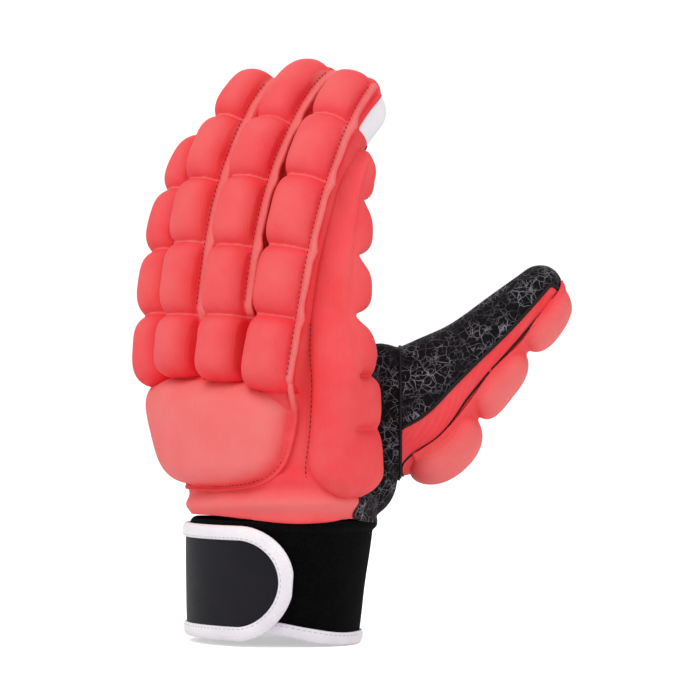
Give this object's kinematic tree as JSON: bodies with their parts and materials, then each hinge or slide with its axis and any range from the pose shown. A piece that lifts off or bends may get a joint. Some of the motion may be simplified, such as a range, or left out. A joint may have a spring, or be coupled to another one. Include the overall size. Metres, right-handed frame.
{
  "type": "field hockey glove",
  "caption": "Left-hand full-finger indoor field hockey glove with foam cells on the back, a grip palm and a hook-and-loop wrist cuff, shown as worn.",
  "frame": {"origin": "centre of the wrist opening, at the cuff's hem", "axes": "+Z from the hem along the fingers, +X to the thumb side, -Y out of the back of the hand"},
  "size_m": [0.1547, 0.1392, 0.2469],
  "materials": {
    "back_cloth": "matte stretch knit",
    "foam_pads": "moulded foam under stretch knit",
    "palm_grip": "suede with a light grey printed net",
    "tip_cloth": "matte stretch knit",
    "cuff_elastic": "brushed elastic",
    "strap_panel": "satin",
    "binding": "woven tape"
  },
  "bodies": {
    "root": {"back_panel": "back_cloth", "index_back": "back_cloth", "middle_back": "back_cloth", "ring_back": "back_cloth", "little_back": "back_cloth", "palm_panel": "palm_grip", "index_front": "palm_grip", "middle_front": "palm_grip", "ring_front": "palm_grip", "little_front": "palm_grip", "thumb_front": "palm_grip", "index_tip_gusset": "tip_cloth", "thumb_back": "back_cloth", "cuff": "cuff_elastic", "hem_binding": "binding", "strap": "strap_panel", "strap_binding": "binding", "index_pad_1": "foam_pads", "index_pad_2": "foam_pads", "index_pad_3": "foam_pads", "index_pad_4": "foam_pads", "index_pad_5": "foam_pads", "middle_pad_1": "foam_pads", "middle_pad_2": "foam_pads", "middle_pad_3": "foam_pads", "middle_pad_4": "foam_pads", "middle_pad_5": "foam_pads", "ring_pad_1": "foam_pads", "ring_pad_2": "foam_pads", "ring_pad_3": "foam_pads", "ring_pad_4": "foam_pads", "ring_pad_5": "foam_pads", "little_pad_1": "foam_pads", "little_pad_2": "foam_pads", "little_pad_3": "foam_pads", "little_pad_4": "foam_pads", "hand_pad": "foam_pads", "side_pad_1": "foam_pads", "side_pad_2": "foam_pads", "side_pad_3": "foam_pads", "side_pad_4": "foam_pads", "side_pad_5": "foam_pads", "side_pad_6": "foam_pads", "thumb_pad_1": "foam_pads", "thumb_pad_2": "foam_pads", "thumb_pad_3": "foam_pads"}
  },
  "joints": []
}
